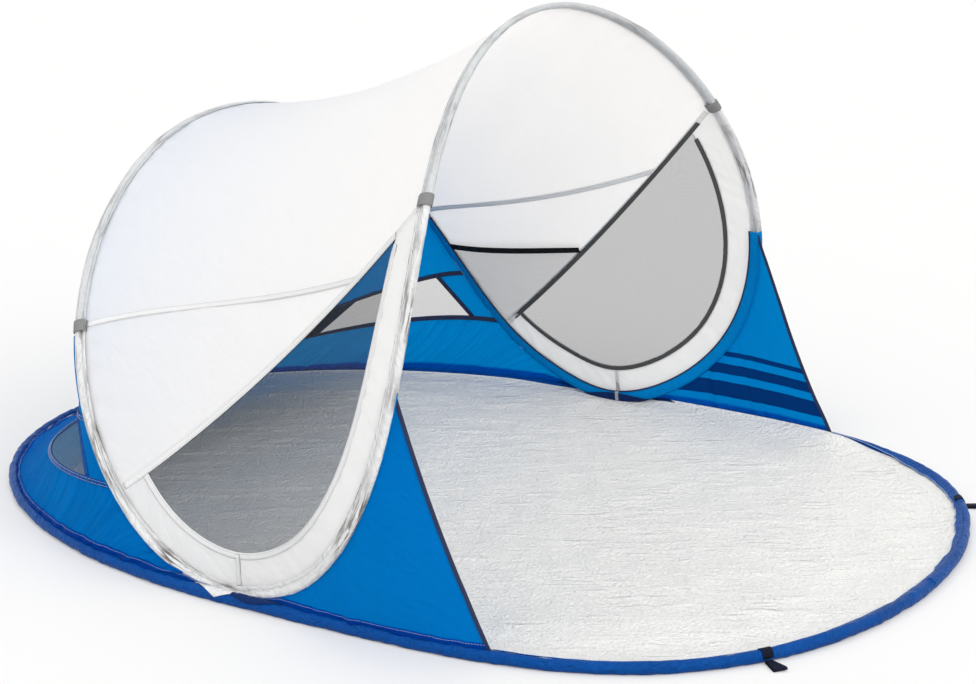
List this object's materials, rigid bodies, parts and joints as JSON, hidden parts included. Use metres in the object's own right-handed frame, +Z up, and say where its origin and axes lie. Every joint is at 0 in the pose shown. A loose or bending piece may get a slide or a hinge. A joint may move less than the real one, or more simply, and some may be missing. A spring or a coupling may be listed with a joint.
{
  "type": "pop-up beach tent",
  "caption": "Pop-up beach tent: an oval floor with a spring hoop in its hem, and a second hoop bent into a saddle that carries a roof, side nets, wings and a back wall with net windows.",
  "frame": {"origin": "middle of the floor's outline, on the ground", "axes": "+X to the tent's right side, +Y to its closed back, +Z up; the open front faces -Y"},
  "size_m": [1.3178, 1.784, 0.8852],
  "materials": {
    "blue_cloth": "taut woven, matt",
    "white_cloth": "taut woven, matt",
    "grey_cloth": "taut woven, matt",
    "silver_sheet": "coated, slightly shiny",
    "navy_tape": "woven tape, matt",
    "dark_tape": "woven tape, matt",
    "grey_webbing": "ribbed webbing, matt",
    "dark_net": "fine net, half see-through",
    "spring_steel": "drawn, satin"
  },
  "bodies": {
    "tent": {"floor_rod": "spring_steel", "floor_ferrule": "spring_steel", "saddle_rod": "spring_steel", "saddle_ferrule": "spring_steel", "floor_hem_left": "blue_cloth", "floor_hem_right": "blue_cloth", "wing_left": "blue_cloth", "wing_right": "blue_cloth", "back_corner_left": "blue_cloth", "back_corner_right": "blue_cloth", "ground_sheet": "silver_sheet", "front_arch_sleeve": "grey_cloth", "back_arch_sleeve": "grey_cloth", "side_sleeve_left": "white_cloth", "side_sleeve_right": "white_cloth", "side_facing_left": "white_cloth", "side_facing_right": "white_cloth", "roof": "white_cloth", "clip_front_left": "grey_webbing", "clip_front_right": "grey_webbing", "clip_back_left": "grey_webbing", "clip_back_right": "grey_webbing", "side_net_left": "dark_net", "side_net_right": "dark_net", "back_net_left": "dark_net", "back_net_right": "dark_net", "pocket_net": "dark_net", "net_tape_left": "dark_tape", "net_tape_right": "dark_tape", "diagonal_tape_left": "dark_tape", "diagonal_tape_right": "dark_tape", "pocket_elastic": "dark_tape", "back_middle_panel": "dark_tape", "wing_binding_left": "navy_tape", "wing_binding_right": "navy_tape", "window_band_outer_left": "navy_tape", "window_band_outer_right": "navy_tape", "window_band_inner_left": "navy_tape", "window_band_inner_right": "navy_tape", "foot_tie_left": "navy_tape", "foot_tie_right": "navy_tape", "seam_band_lower": "navy_tape", "seam_band_upper": "navy_tape", "back_wall_lower": "blue_cloth", "back_wall_upper": "blue_cloth"},
    "loop_left": {"peg_loop_left": "navy_tape"},
    "loop_right": {"peg_loop_right": "navy_tape"}
  },
  "joints": [
    {"name": "loop_left_swing", "type": "hinge", "parent": "tent", "child": "loop_left", "pos_m": [-0.40059, -0.79241, 0.005], "axis": [-0.845, 0.5347, 0], "range_deg": [0, 90]},
    {"name": "loop_right_swing", "type": "hinge", "parent": "tent", "child": "loop_right", "pos_m": [0.40059, -0.79241, 0.005], "axis": [-0.845, -0.5347, 0], "range_deg": [0, 90]}
  ]
}
